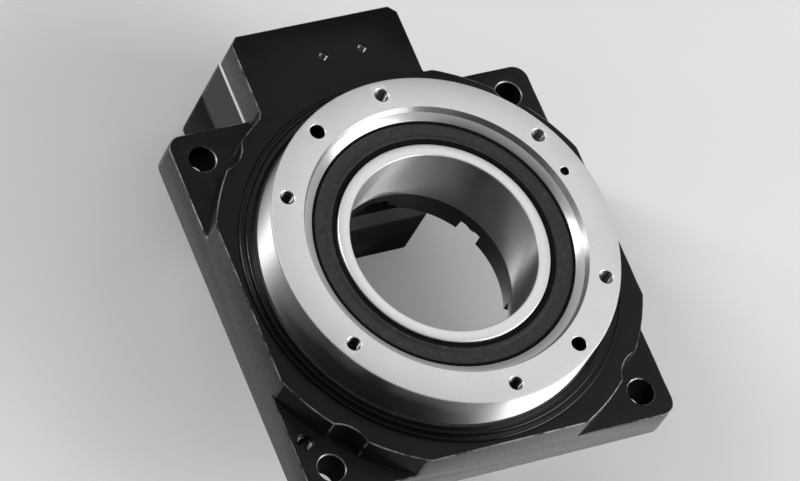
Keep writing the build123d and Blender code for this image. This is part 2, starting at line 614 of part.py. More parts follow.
def ball_bearing(bottom):
    """Outer ring, inner ring, balls and cage of one deep-groove bearing on the pinion axis."""
    middle = bottom + BALL_BEARING_WIDTH / 2
    top = bottom + BALL_BEARING_WIDTH
    groove = Pos(0, 0, middle) * Torus(BALL_PITCH_R, BALL_D / 2 + 0.03)
    outer = ring(BALL_BEARING_R - SEAT_GAP, BALL_PITCH_R + 1.35, bottom, top) - groove
    inner = ring(BALL_PITCH_R - 1.35, JOURNAL_R + SEAT_GAP, bottom, top) - groove
    balls = [Rot(0, 0, i * 360 / BALL_COUNT) * Pos(BALL_PITCH_R, 0, middle) * Sphere(BALL_D / 2)
             for i in range(BALL_COUNT)]
    cage = ring(BALL_PITCH_R + 0.8, BALL_PITCH_R - 0.8, middle + 0.6, middle + BALL_D / 2 + 0.7)
    for i in range(BALL_COUNT):
        cage -= Rot(0, 0, i * 360 / BALL_COUNT) * Pos(BALL_PITCH_R, 0, middle) * Sphere(BALL_D / 2 + 0.06)
    return at_pinion(outer), at_pinion(inner), at_pinion(group(balls)), at_pinion(cage)


def make_bearing_spacers():
    low = LOWER_BEARING_Z + BALL_BEARING_WIDTH + SEAT_GAP
    high = UPPER_BEARING_Z - SEAT_GAP
    outer = ring(BALL_BEARING_R - SEAT_GAP, BALL_BEARING_R - BEARING_SHOULDER, low, high)
    inner = ring(JOURNAL_R + 1.5, JOURNAL_R + SEAT_GAP, low, high)
    return at_pinion(outer), at_pinion(inner)


def make_pinion_circlip():
    low = UPPER_BEARING_TOP_Z
    high = low + PINION_CLIP_THICKNESS
    outer_r = BALL_BEARING_R + PINION_CLIP_GRIP
    inner_r = BALL_BEARING_R - PINION_CLIP_LAND
    clip = ring(outer_r, inner_r, low + SEAT_GAP, high - SEAT_GAP)
    width = PINION_CLIP_GRIP + PINION_CLIP_LAND
    clip -= Pos(0, BALL_BEARING_R, low) * Box(CIRCLIP_OPENING, 4 * width, 4 * PINION_CLIP_THICKNESS)
    return at_pinion(clip)


def make_bearing_carrier():
    plan = flange_plan()
    plate = Pos(0, 0, CARRIER_BOTTOM_Z) * extrude(plan, CARRIER_RECESS - SEAT_GAP - CARRIER_BOTTOM_Z)
    step = Pos(0, 0, CARRIER_BOTTOM_Z) * extrude(plan, CARRIER_STEP_Z - CARRIER_BOTTOM_Z)
    carrier = plate + (step & behind_base())
    carrier += at_pinion(rod(CARRIER_BOSS_R, -1, BOSS_TOP_Z))
    low = UPPER_BEARING_TOP_Z
    carrier -= at_pinion(rod(BALL_BEARING_R, LOWER_BEARING_Z, BOSS_TOP_Z + 1))
    carrier -= at_pinion(rod(BALL_BEARING_R - BEARING_SHOULDER, CARRIER_BOTTOM_Z - 1, LOWER_BEARING_Z + 1))
    groove_r = BALL_BEARING_R + PINION_CLIP_GRIP + 5 * SEAT_GAP
    carrier -= at_pinion(ring(groove_r, BALL_BEARING_R - 1, low, low + PINION_CLIP_THICKNESS))
    for x, y in carrier_screw_points():
        carrier -= Pos(x, y, 0) * rod(CARRIER_SCREW_D / 2 + SCREW_GAP, CARRIER_BOTTOM_Z - 1, BODY_HEIGHT)
        counterbore = rod(head_hole_r(CARRIER_SCREW_D), CARRIER_BOTTOM_Z - 1, CARRIER_SCREW_SEAT_Z)
        carrier -= Pos(x, y, 0) * counterbore
    for x, y in adapter_screw_points():
        tap = rod(tapped_r(ADAPTER_SCREW_D), CARRIER_BOTTOM_Z - 1, ADAPTER_SCREW_TIP_Z + 0.5)
        carrier -= Pos(x, y, 0) * tap
    for x, y in dowel_points():
        carrier -= Pos(x, y, 0) * rod(DOWEL_D / 2 + SEAT_GAP / 2, CARRIER_BOTTOM_Z - 1, DOWEL_TOP_Z + 0.3)
    return carrier


def make_shim_plate():
    shim = Pos(0, 0, CARRIER_STEP_Z + SEAT_GAP) * extrude(flange_plan(), SHIM_THICKNESS - 2 * SEAT_GAP)
    shim = shim & behind_base()
    shim -= at_pinion(rod(CARRIER_BOSS_R + 0.2, 0, BODY_HEIGHT))
    for x, y in carrier_screw_points():
        shim -= Pos(x, y, 0) * rod(CARRIER_SCREW_D / 2 + SCREW_GAP, 0, BODY_HEIGHT)
    return shim


def make_gasket():
    plan = flange_plan(-GASKET_INSET)
    gasket = Pos(0, 0, ADAPTER_TOP_Z + SEAT_GAP) * extrude(plan, GASKET_THICKNESS - 2 * SEAT_GAP)
    gasket -= at_pinion(rod(ADAPTER_CAVITY_R, ADAPTER_TOP_Z - 1, CARRIER_BOTTOM_Z + 1))
    for x, y in adapter_screw_points():
        gasket -= Pos(x, y, 0) * rod(ADAPTER_SCREW_D / 2 + SCREW_GAP, ADAPTER_TOP_Z - 1, CARRIER_BOTTOM_Z + 1)
    for x, y in dowel_points():
        gasket -= Pos(x, y, 0) * rod(DOWEL_D / 2 + 10 * SEAT_GAP, ADAPTER_TOP_Z - 1, CARRIER_BOTTOM_Z + 1)
    for x, y in carrier_screw_points():
        gasket -= Pos(x, y, 0) * rod(head_hole_r(CARRIER_SCREW_D), ADAPTER_TOP_Z - 1, CARRIER_BOTTOM_Z + 1)
    return gasket


def make_motor_adapter():
    adapter = Pos(0, 0, ADAPTER_BOTTOM_Z) * extrude(flange_plan(), ADAPTER_HEIGHT)
    adapter -= at_pinion(rod(ADAPTER_CAVITY_R, ADAPTER_BOTTOM_Z - 1, ADAPTER_TOP_Z + 1))
    adapter -= at_pinion(rod(MOTOR_PILOT_D / 2, ADAPTER_BOTTOM_Z - 1, ADAPTER_BOTTOM_Z + MOTOR_PILOT_DEPTH))
    for x, y in motor_tap_points():
        tap = rod(MOTOR_TAP_D / 2, ADAPTER_BOTTOM_Z - 1, ADAPTER_BOTTOM_Z + MOTOR_TAP_DEPTH)
        adapter -= Pos(x, y, 0) * tap
    for x, y in adapter_screw_points():
        shank = rod(ADAPTER_SCREW_D / 2 + SCREW_GAP, ADAPTER_BOTTOM_Z - 1, ADAPTER_TOP_Z + 1)
        counterbore = rod(head_hole_r(ADAPTER_SCREW_D), ADAPTER_BOTTOM_Z - 1, ADAPTER_SCREW_SEAT_Z)
        adapter -= Pos(x, y, 0) * shank
        adapter -= Pos(x, y, 0) * counterbore
    for x, y in dowel_points():
        adapter -= Pos(x, y, 0) * rod(DOWEL_D / 2 + SEAT_GAP / 2, DOWEL_BOTTOM_Z - 0.3, ADAPTER_TOP_Z + 1)
    access = Rot(0, 90, 0) * Cylinder(ACCESS_HOLE_R, FLANGE_SIDE / 2)
    return adapter - Pos(PINION_X + FLANGE_SIDE / 2, PINION_Y + CLAMP_SCREW_Y, COLLAR_MID_Z) * access


def make_access_plug():
    stem = Pos(-PLUG_STEM / 2, 0, 0) * (Rot(0, 90, 0) * Cylinder(ACCESS_HOLE_R - SEAT_GAP, PLUG_STEM))
    head = Pos(PLUG_HEAD / 2, 0, 0) * (Rot(0, 90, 0) * Cylinder(ACCESS_HOLE_R + PLUG_RIM, PLUG_HEAD))
    head = fillet(head.edges().group_by(Axis.X)[-1], PLUG_HEAD / 2)
    side = PINION_X + FLANGE_SIDE / 2 + SEAT_GAP
    return Pos(side, PINION_Y + CLAMP_SCREW_Y, COLLAR_MID_Z) * (stem + head)


def make_adapter_screws():
    screw = socket_screw(ADAPTER_SCREW_D, ADAPTER_SCREW_LENGTH, ADAPTER_SCREW_SEAT_Z - ADAPTER_SCREW_D)
    return group([Pos(x, y, 0) * screw for x, y in adapter_screw_points()])


def make_carrier_screws():
    screws = []
    for x, y in carrier_screw_points():
        length = carrier_screw_top(y) - CARRIER_SCREW_SEAT_Z
        screw = socket_screw(CARRIER_SCREW_D, length, CARRIER_SCREW_SEAT_Z - CARRIER_SCREW_D)
        screws.append(Pos(x, y, 0) * screw)
    return group(screws)


def make_dowels():
    pin = rod(DOWEL_D / 2 - SEAT_GAP / 2, DOWEL_BOTTOM_Z, DOWEL_TOP_Z)
    pin = chamfer(pin.edges(), 0.4)
    return group([Pos(x, y, 0) * pin for x, y in dowel_points()])


def main():
    upper_outer, upper_inner, upper_balls, upper_cage = ball_bearing(UPPER_BEARING_Z)
    lower_outer, lower_inner, lower_balls, lower_cage = ball_bearing(LOWER_BEARING_Z)
    outer_spacer, inner_spacer = make_bearing_spacers()
    parts = {
        "housing": make_housing(),
        "dust_ring": make_dust_ring(),
        "table_wiper": make_wiper(),
        "rotary_table": make_table(),
        "table_seal": make_table_seal(),
        "center_sleeve": make_sleeve(),
        "sleeve_screws": make_sleeve_screws(),
        "bearing_outer_ring": make_bearing_outer(),
        "bearing_inner_ring": make_bearing_inner(),
        "bearing_rollers": make_rollers(),
        "bearing_cage": make_roller_cage(),
        "bearing_circlip": make_bearing_circlip(),
        "ring_gear": make_ring_gear(),
        "gear_screws": make_gear_screws(),
        "pinion_shaft": make_pinion_shaft(),
        "upper_bearing_outer": upper_outer,
        "upper_bearing_inner": upper_inner,
        "upper_bearing_balls": upper_balls,
        "upper_bearing_cage": upper_cage,
        "lower_bearing_outer": lower_outer,
        "lower_bearing_inner": lower_inner,
        "lower_bearing_balls": lower_balls,
        "lower_bearing_cage": lower_cage,
        "outer_spacer": outer_spacer,
        "inner_spacer": inner_spacer,
        "pinion_circlip": make_pinion_circlip(),
        "clamp_collar": make_clamp_collar(),
        "clamp_screw": make_clamp_screw(),
        "bearing_carrier": make_bearing_carrier(),
        "shim_plate": make_shim_plate(),
        "adapter_gasket": make_gasket(),
        "motor_adapter": make_motor_adapter(),
        "adapter_screws": make_adapter_screws(),
        "carrier_screws": make_carrier_screws(),
        "adapter_dowels": make_dowels(),
        "access_plug": make_access_plug(),
    }
    os.makedirs("parts", exist_ok=True)
    for name, shape in parts.items():
        export_step(shape, f"parts/{name}.step")


if __name__ == "__main__":
    main()
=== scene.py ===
"""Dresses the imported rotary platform: fine outer surfaces, materials, floor, light and camera."""

import json
from math import atan2, cos, degrees, hypot, pi, radians, sin, sqrt, tan

import bmesh
import bpy
from mathutils import Matrix, Vector


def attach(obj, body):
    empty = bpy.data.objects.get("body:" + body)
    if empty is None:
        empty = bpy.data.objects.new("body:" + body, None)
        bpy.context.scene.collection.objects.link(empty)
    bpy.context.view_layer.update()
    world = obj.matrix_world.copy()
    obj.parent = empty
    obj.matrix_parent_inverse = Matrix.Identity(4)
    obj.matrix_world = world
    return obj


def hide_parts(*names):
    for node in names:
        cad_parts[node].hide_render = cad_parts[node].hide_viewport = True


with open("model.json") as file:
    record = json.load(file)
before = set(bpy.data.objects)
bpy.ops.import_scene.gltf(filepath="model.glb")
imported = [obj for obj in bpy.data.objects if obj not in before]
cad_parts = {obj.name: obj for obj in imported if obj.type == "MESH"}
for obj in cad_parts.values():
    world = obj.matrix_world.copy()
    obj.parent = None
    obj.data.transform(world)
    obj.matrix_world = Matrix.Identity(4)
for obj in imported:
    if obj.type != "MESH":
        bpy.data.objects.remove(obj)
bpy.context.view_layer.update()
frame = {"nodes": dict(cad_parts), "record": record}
scene = bpy.context.scene
MM = 0.001

# Sizes in millimetres, as in the model of the solids
TABLE_R, TABLE_Z, TABLE_BOTTOM, TABLE_EDGE = 57.5, 38.5, 19.5, 0.5
TABLE_FACE_INNER_R, TABLE_STEP_R, LEDGE_Z = 46.9, 46.0, 36.4
TAP_CIRCLE_R, TAP_ANGLE, TAP_R, TAP_BOTTOM = 52.5, 31.6, 2.25, 27.5
DOWEL_ANGLE, DOWEL_R, INDEX_CIRCLE_R, INDEX_ANGLE, INDEX_R, BLIND_Z = 121.6, 2.5, 50.0, 15.6, 1.5, 31.5
GEAR_SCREW_CIRCLE_R, GEAR_SCREW_ANGLE, GEAR_SCREW_R, GEAR_SCREW_TOP = 49.175, 1.6, 2.0, 27.2
BEARING_R, BEARING_BOTTOM, BEARING_TOP = 45.0, 20.0, 30.0
SEAL_R, SEAL_BOTTOM, SEAL_TOP = 43.4, 31.9, 35.4
BORE_R, SLEEVE_R, SLEEVE_SHOULDER_R, SLEEVE_FOOT_R = 31.0, 35.0, 37.6, 40.0
SLEEVE_FOOT_Z, SLEEVE_TOP = 10.0, 35.5
RING_R, RING_SEAT_Z, RING_TOP = 63.4, 21.5, 24.32
BASE_HALF, BASE_CORNER_R, EAR_TOP = 65.0, 5.0, 13.0
BODY_R, BODY_BOTTOM, BODY_TOP = 70.6, 10.75, 23.0
CAVITY_R, FLOOR_TOP, FLOOR_BORE_R = 58.5, 10.5, 31.5
EAR_XY, EAR_HOLE_R, EAR_BITE_R = 55.5, 4.5, 10.0
EAR_PORT_X, EAR_PORT_Y, EAR_PORT_R = -60.5, -45.3, 2.5
NOTCH_R, NOTCH_CIRCLE_R, NOTCH_TOP, NOTCH_ANGLE = 4.1, 37.0, 4.6, 30
SLEEVE_SCREW_HOLE_R = 2.3
PINION_X, PINION_Y = -5.5, sqrt(60.5**2 - 5.5**2)
PINION_ROOM_R, PINION_ROOM_TOP, BOSS_SEAT_R = 8.5, 20.0, 17.02
BLOCK_CUT, BLOCK_FILLET_R = 2.5, 4.0
RECESS_GAP, RECESS_DEPTH = 0.1, 0.5
SENSOR_X, SENSOR_Y, SENSOR_SPREAD, SENSOR_R, SENSOR_BOTTOM = 0.3, PINION_Y + 17.0, 7.0, 1.5, 17.0
CARRIER_SCREW_XY, CARRIER_SCREW_R = 24.0, 2.5
CARRIER_SCREW_TOP_BACK, CARRIER_SCREW_TOP_FRONT = 19.5, 8.5
FLANGE_HALF, FLANGE_CORNER_R, ADAPTER_TOP, ADAPTER_BOTTOM = 30.0, 3.0, -10.8, -33.0
ADAPTER_CAVITY_R, MOTOR_PILOT_R, MOTOR_PILOT_TOP = 21.0, 25.0, -29.5
MOTOR_TAP_XY, MOTOR_TAP_R, MOTOR_TAP_TOP = 24.75, 2.25, -21.0
ADAPTER_SCREW_X, ADAPTER_SCREW_Y, ADAPTER_SCREW_R = 11.5, 26.3, 1.8
ADAPTER_HEAD_R, ADAPTER_HEAD_TOP = 2.95, -29.7
ADAPTER_DOWEL_X, ADAPTER_DOWEL_SHIFT, ADAPTER_DOWEL_R, ADAPTER_DOWEL_BOTTOM = 26.0, 5.0, 2.01, -15.7
ACCESS_R, ACCESS_Y, ACCESS_Z, ACCESS_HALF = 4.0, 14.7, -21.7, 15.0
THREAD_GAP, THREAD_SKIN = 0.05, 0.03
# How far a cutter stands out of the face that it cuts
OVERRUN = 1.0

SIXTHS = range(0, 360, 60)
CORNERS = ((-1, -1), (-1, 1), (1, -1), (1, 1))
EARS = [(sx * EAR_XY, sy * EAR_XY) for sx, sy in CORNERS]
MOTOR_TAPS = [(PINION_X + sx * MOTOR_TAP_XY, PINION_Y + sy * MOTOR_TAP_XY) for sx, sy in CORNERS]
BLOCK_LEFT, BLOCK_RIGHT, BLOCK_BACK = PINION_X - FLANGE_HALF, PINION_X + FLANGE_HALF, PINION_Y + FLANGE_HALF

# Place in a bevelled piece's list of looks that its worn edges take
EDGE_LOOK = 2


# Mesh helpers
def make_object(name, verts, faces):
    """New object from points in millimetres, its normals turned outwards."""
    mesh = bpy.data.meshes.new(name)
    mesh.from_pydata([(x * MM, y * MM, z * MM) for x, y, z in verts], [], faces)
    mesh.validate()
    obj = bpy.data.objects.new(name, mesh)
    scene.collection.objects.link(obj)
    bm = bmesh.new()
    bm.from_mesh(mesh)
    bmesh.ops.remove_doubles(bm, verts=bm.verts, dist=1e-7)
    bmesh.ops.recalc_face_normals(bm, faces=bm.faces)
    bm.to_mesh(mesh)
    bm.free()
    return obj


def lathe(name, profile, steps=288, centre=(0.0, 0.0), closed=True):
    """Profile of (radius, height) corners turned about a vertical axis."""
    cx, cy = centre
    verts, faces = [], []
    count = len(profile)
    for i in range(steps):
        a = 2 * pi * i / steps
        verts += [(cx + r * cos(a), cy + r * sin(a), z) for r, z in profile]
    for i in range(steps):
        j = (i + 1) % steps
        for k in range(count if closed else count - 1):
            n = (k + 1) % count
            faces.append((i * count + k, j * count + k, j * count + n, i * count + n))
    return make_object(name, verts, faces)


def prism(name, outline, bottom, top):
    """Upright solid over an outline of (x, y) corners."""
    count = len(outline)
    verts = [(x, y, bottom) for x, y in outline] + [(x, y, top) for x, y in outline]
    faces = [tuple(range(count))[::-1], tuple(range(count, 2 * count))]
    faces += [(k, (k + 1) % count, count + (k + 1) % count, count + k) for k in range(count)]
    return make_object(name, verts, faces)


def polar(radius, angle):
    return radius * cos(radians(angle)), radius * sin(radians(angle))


def arc(centre, radius, start, end, steps):
    """Points on an arc, angles in degrees."""
    cx, cy = centre
    return [(cx + radius * cos(radians(start + (end - start) * k / steps)),
             cy + radius * sin(radians(start + (end - start) * k / steps))) for k in range(steps + 1)]


def rounded_square(cx, cy, half, corner, steps=10):
    points = []
    for sx, sy, start in ((1, 1, 0), (-1, 1, 90), (-1, -1, 180), (1, -1, 270)):
        centre = (cx + sx * (half - corner), cy + sy * (half - corner))
        points += arc(centre, corner, start, start + 90, steps)
    return points


def drill(x, y, radius, bottom, top, steps=48):
    """Plain round cutter."""
    angles = [2 * pi * i / steps for i in range(steps)]
    return prism("drill", [(x + radius * cos(a), y + radius * sin(a)) for a in angles], bottom, top)


def countersunk(x, y, radius, blind, face, flare, steps=48):
    """Round cutter from a face to its blind end, with a drill point there and a small flare at the face."""
    way = 1 if face > blind else -1
    profile = [(0.0, blind - way * 0.3 * radius), (radius, blind), (radius, face - way * flare),
               (radius + flare, face), (radius + flare, face + way * OVERRUN), (0.0, face + way * OVERRUN)]
    return lathe("drill", profile, steps, (x, y), closed=False)


def apply_modifiers(obj):
    bpy.context.view_layer.update()
    depsgraph = bpy.context.evaluated_depsgraph_get()
    mesh = bpy.data.meshes.new_from_object(obj.evaluated_get(depsgraph))
    obj.modifiers.clear()
    old = obj.data
    obj.data = mesh
    bpy.data.meshes.remove(old)


def boolean(obj, tools, operation):
    for tool in tools:
        modifier = obj.modifiers.new("cut", "BOOLEAN")
        modifier.operation = operation
        modifier.solver = "EXACT"
        modifier.object = tool
    apply_modifiers(obj)
    for tool in tools:
        mesh = tool.data
        bpy.data.objects.remove(tool)
        bpy.data.meshes.remove(mesh)


def round_edges(obj, width):
    """Small rounded edges. The weld first joins points too close for them."""
    modifier = obj.modifiers.new("join", "WELD")
    modifier.merge_threshold = 0.25 * MM
    modifier = obj.modifiers.new("edge", "BEVEL")
    modifier.width = width * MM
    modifier.segments = 2
    modifier.limit_method = "ANGLE"
    modifier.angle_limit = radians(30)
    modifier.use_clamp_overlap = False
    modifier.harden_normals = False
    modifier.miter_outer = "MITER_ARC"
    modifier.material = EDGE_LOOK
    apply_modifiers(obj)


def smooth(obj, angle):
    """Smooth shading, with edges sharper than the angle kept sharp."""
    for polygon in obj.data.polygons:
        polygon.use_smooth = True
    obj.data.set_sharp_from_angle(angle=radians(angle))


# Material helpers
MATERIALS = {}


def empty_material(name):
    material = bpy.data.materials.new(name)
    material.use_nodes = True
    tree = material.node_tree
    tree.nodes.clear()
    return material, tree, tree.nodes.new("ShaderNodeOutputMaterial")


def node_material(name, metallic, roughness, anisotropic=0.0, coat=0.0, specular=0.5):
    """New material with its shader, kept in MATERIALS under its name."""
    material, tree, out = empty_material(name)
    shader = tree.nodes.new("ShaderNodeBsdfPrincipled")
    tree.links.new(shader.outputs[0], out.inputs[0])
    shader.inputs["Metallic"].default_value = metallic
    shader.inputs["Roughness"].default_value = roughness
    shader.inputs["Anisotropic"].default_value = anisotropic
    shader.inputs["Coat Weight"].default_value = coat
    shader.inputs["Coat Roughness"].default_value = 0.1
    shader.inputs["Specular IOR Level"].default_value = specular
    MATERIALS[name] = material
    return material, tree, shader


def place(tree, scale=(1.0, 1.0, 1.0)):
    """The piece's own coordinates in metres, scaled."""
    coords = tree.nodes.new("ShaderNodeTexCoord")
    mapping = tree.nodes.new("ShaderNodeMapping")
    mapping.inputs["Scale"].default_value = scale
    tree.links.new(coords.outputs["Object"], mapping.inputs["Vector"])
    return mapping.outputs["Vector"]


def noise(tree, vector, scale, detail=4.0, rough=0.55):
    node = tree.nodes.new("ShaderNodeTexNoise")
    node.inputs["Scale"].default_value = scale
    node.inputs["Detail"].default_value = detail
    node.inputs["Roughness"].default_value = rough
    tree.links.new(vector, node.inputs["Vector"])
    return node.outputs["Fac"]


def ramp(tree, value, stops):
    """Colour from a value, by stops of (position, colour)."""
    node = tree.nodes.new("ShaderNodeValToRGB")
    while len(node.color_ramp.elements) < len(stops):
        node.color_ramp.elements.new(0.5)
    for element, (position, color) in zip(node.color_ramp.elements, stops):
        element.position = position
        element.color = (*color, 1.0)
    tree.links.new(value, node.inputs["Fac"])
    return node.outputs["Color"]


def grey(v):
    return (v, v, v * 1.01)


def math_node(tree, operation, a, b=None):
    node = tree.nodes.new("ShaderNodeMath")
    node.operation = operation
    for k, v in enumerate((a, b)):
        if v is None:
            continue
        if isinstance(v, (int, float)):
            node.inputs[k].default_value = v
        else:
            tree.links.new(v, node.inputs[k])
    return node.outputs[0]


def weighted(tree, a, b, share):
    """Mean of two values, with a's share."""
    first = math_node(tree, "MULTIPLY", a, share)
    second = math_node(tree, "MULTIPLY", b, 1 - share)
    return math_node(tree, "ADD", first, second)


def vary_roughness(tree, shader, value, low, high):
    """Roughness from low to high over the middle of a noise value."""
    node = tree.nodes.new("ShaderNodeMapRange")
    node.inputs["From Min"].default_value = 0.3
    node.inputs["From Max"].default_value = 0.7
    node.inputs["To Min"].default_value = low
    node.inputs["To Max"].default_value = high
    tree.links.new(value, node.inputs["Value"])
    tree.links.new(node.outputs["Result"], shader.inputs["Roughness"])


def bump(tree, shader, height, strength, distance):
    node = tree.nodes.new("ShaderNodeBump")
    node.inputs["Strength"].default_value = strength
    node.inputs["Distance"].default_value = distance
    tree.links.new(height, node.inputs["Height"])
    tree.links.new(node.outputs["Normal"], shader.inputs["Normal"])


def turned_lines(tree, per_mm):
    """Fine lines that follow radius and height, uneven as a lathe leaves them."""
    coords = tree.nodes.new("ShaderNodeTexCoord")
    split = tree.nodes.new("ShaderNodeSeparateXYZ")
    tree.links.new(coords.outputs["Object"], split.inputs[0])
    x, y, height = split.outputs
    squares = math_node(tree, "ADD", math_node(tree, "MULTIPLY", x, x), math_node(tree, "MULTIPLY", y, y))
    along = math_node(tree, "ADD", height, math_node(tree, "SQRT", squares))
    combine = tree.nodes.new("ShaderNodeCombineXYZ")
    tree.links.new(math_node(tree, "MULTIPLY", along, per_mm / MM), combine.inputs[0])
    return noise(tree, combine.outputs[0], 1.0, 3.0, 0.6)


# Materials
def steel_face(name, low, high, roughness):
    """Ground steel with a fine blotchy grain."""
    material, tree, shader = node_material(name, 0.9, roughness)
    vector = place(tree)
    grain = noise(tree, vector, 2600.0, 5.0, 0.7)
    cloud = noise(tree, vector, 70.0, 3.0, 0.5)
    color = ramp(tree, weighted(tree, grain, cloud, 0.75), [(0.3, grey(low)), (0.7, grey(high))])
    tree.links.new(color, shader.inputs["Base Color"])
    vary_roughness(tree, shader, grain, roughness - 0.05, roughness + 0.07)
    bump(tree, shader, grain, 0.12, 0.00002)


def steel_turned(name, low, high, roughness, anisotropic, per_mm):
    """Turned steel: fine rings up the wall, and highlights drawn out across them."""
    material, tree, shader = node_material(name, 1.0, roughness, anisotropic)
    shader.inputs["Anisotropic Rotation"].default_value = 0.25
    tangent = tree.nodes.new("ShaderNodeTangent")
    tangent.direction_type = "RADIAL"
    tangent.axis = "Z"
    tree.links.new(tangent.outputs[0], shader.inputs["Tangent"])
    lines = turned_lines(tree, per_mm)
    cloud = noise(tree, place(tree), 45.0, 3.0, 0.5)
    color = ramp(tree, weighted(tree, lines, cloud, 0.7), [(0.3, grey(low)), (0.7, grey(high))])
    tree.links.new(color, shader.inputs["Base Color"])
    vary_roughness(tree, shader, lines, roughness - 0.04, roughness + 0.06)
    bump(tree, shader, lines, 0.08, 0.00002)


def black_metal(name, base, roughness, coat=0.0, grain=0.35, specular=0.25, speckled=0.62, spot=2.1):
    """Blackened metal with soft smears, and specks spot times as bright where a noise is above speckled."""
    material, tree, shader = node_material(name, 0.0, roughness, coat=coat, specular=specular)
    speckle = noise(tree, place(tree), 1500.0, 4.0, 0.75)
    smear = noise(tree, place(tree, (1.0, 1.8, 1.0)), 24.0, 3.0, 0.5)
    shades = [(0.0, grey(base * 0.75)), (speckled, grey(base)), (speckled + 0.12, grey(base * spot))]
    multiply = tree.nodes.new("ShaderNodeMix")
    multiply.data_type = "RGBA"
    multiply.blend_type = "MULTIPLY"
    multiply.inputs[0].default_value = 1.0
    tree.links.new(ramp(tree, speckle, shades), multiply.inputs[6])
    tree.links.new(ramp(tree, smear, [(0.35, grey(0.92)), (0.7, grey(1.1))]), multiply.inputs[7])
    tree.links.new(multiply.outputs[2], shader.inputs["Base Color"])
    vary_roughness(tree, shader, smear, roughness - 0.02, roughness + 0.03)
    bump(tree, shader, speckle, grain, 0.00003)


def edge_metal(name, dark, bright, roughness):
    """Blackened edge rubbed through to the metal in places."""
    material, tree, shader = node_material(name, 0.6, roughness, specular=0.4)
    rub = noise(tree, place(tree), 140.0, 3.0, 0.6)
    fine = noise(tree, place(tree), 1200.0, 4.0, 0.7)
    color = ramp(tree, weighted(tree, rub, fine, 0.75), [(0.42, grey(dark)), (0.56, grey(bright))])
    tree.links.new(color, shader.inputs["Base Color"])
    bump(tree, shader, fine, 0.15, 0.00002)


def rubber(name, base, roughness, specular):
    """Black rubber with pale marks here and there."""
    material, tree, shader = node_material(name, 0.0, roughness, specular=specular)
    fine = noise(tree, place(tree), 900.0, 4.0, 0.7)
    marks = noise(tree, place(tree, (1.0, 1.0, 3.0)), 420.0, 5.0, 0.7)
    shades = [(0.3, grey(base * 0.5)), (0.58, grey(base)), (0.66, grey(base * 2.0)), (0.74, grey(base * 6.0))]
    tree.links.new(ramp(tree, marks, shades), shader.inputs["Base Color"])
    vary_roughness(tree, shader, fine, roughness - 0.12, roughness + 0.1)
    bump(tree, shader, fine, 0.3, 0.00005)


def plain(name, metallic, color_low, color_high, roughness, scale):
    """Metal or plastic with a fine even grain."""
    material, tree, shader = node_material(name, metallic, roughness)
    value = noise(tree, place(tree), scale, 4.0, 0.6)
    tree.links.new(ramp(tree, value, [(0.3, color_low), (0.7, color_high)]), shader.inputs["Base Color"])
    vary_roughness(tree, shader, value, roughness - 0.05, roughness + 0.07)
    bump(tree, shader, value, 0.1, 0.00003)


black_metal("black_body", base=0.007, roughness=0.38, specular=0.14)
# Side walls: more and brighter specks of wear, and a base four times lighter than the top, which is painted
# light
black_metal("body_side_wear_and_light", base=0.03, roughness=0.34, grain=0.6, specular=0.5, speckled=0.52, spot=2.6)
black_metal("carrier_body", base=0.018, roughness=0.36, grain=0.5, specular=0.36, speckled=0.54, spot=2.4)
black_metal("adapter_body", base=0.005, roughness=0.42, specular=0.07)
edge_metal("adapter_edge", dark=0.01, bright=0.06, roughness=0.35)
edge_metal("worn_edge", dark=0.03, bright=0.26, roughness=0.4)
# Hole walls: near black and with little gloss, painted shade inside the holes
black_metal("hole_painted_shade", base=0.004, roughness=0.6, specular=0.03)
black_metal("gloss_black", base=0.004, roughness=0.24, coat=0.04, grain=0.1, specular=0.16)
steel_face("table_face", low=0.6, high=0.77, roughness=0.42)
steel_turned("table_rim", low=0.6, high=0.74, roughness=0.44, anisotropic=0.95, per_mm=9.0)
steel_turned("table_ledge", low=0.5, high=0.66, roughness=0.3, anisotropic=0.9, per_mm=7.0)
steel_turned("bore_wall", low=0.4, high=0.58, roughness=0.3, anisotropic=0.97, per_mm=5.0)
steel_face("ground_steel", low=0.7, high=0.8, roughness=0.38)
steel_turned("bearing_steel", low=0.5, high=0.62, roughness=0.2, anisotropic=0.4, per_mm=6.0)
plain("gear_steel", 1.0, (0.22, 0.22, 0.23), (0.34, 0.34, 0.35), roughness=0.34, scale=300.0)
plain("spring_steel", 1.0, (0.10, 0.10, 0.12), (0.16, 0.16, 0.18), roughness=0.3, scale=500.0)
plain("black_oxide", 1.0, (0.035, 0.035, 0.037), (0.06, 0.06, 0.062), roughness=0.4, scale=600.0)
plain("screw_steel", 1.0, (0.06, 0.06, 0.062), (0.16, 0.16, 0.165), roughness=0.32, scale=900.0)
# Thread steel far darker than bare steel, painted shade inside the tapped holes
plain("thread", 1.0, (0.1, 0.1, 0.102), (0.24, 0.24, 0.244), roughness=0.24, scale=900.0)
plain("cage_brass", 1.0, (0.55, 0.38, 0.13), (0.66, 0.47, 0.18), roughness=0.3, scale=350.0)
rubber("seal_rubber", base=0.018, roughness=0.45, specular=0.35)
# Seal beads beside the walls: darker, duller rubber, painted shade in the gaps
rubber("seal_edge_painted_shade", base=0.004, roughness=0.6, specular=0.06)
plain("shim_white", 0.0, (0.72, 0.72, 0.715), (0.84, 0.84, 0.835), roughness=0.55, scale=500.0)
plain("plug_plastic", 0.0, (0.016, 0.016, 0.017), (0.026, 0.026, 0.027), roughness=0.5, scale=900.0)

# Looks that differ from the one with the slot's own name
SLOT_LOOKS = {"table_steel": "table_rim", "ground_steel": "bore_wall"}
NODE_LOOKS = {"bearing_carrier": "carrier_body"}


# Dressing helpers
def dress(obj, *looks):
    obj.data.materials.clear()
    for look in looks:
        obj.data.materials.append(MATERIALS[look])


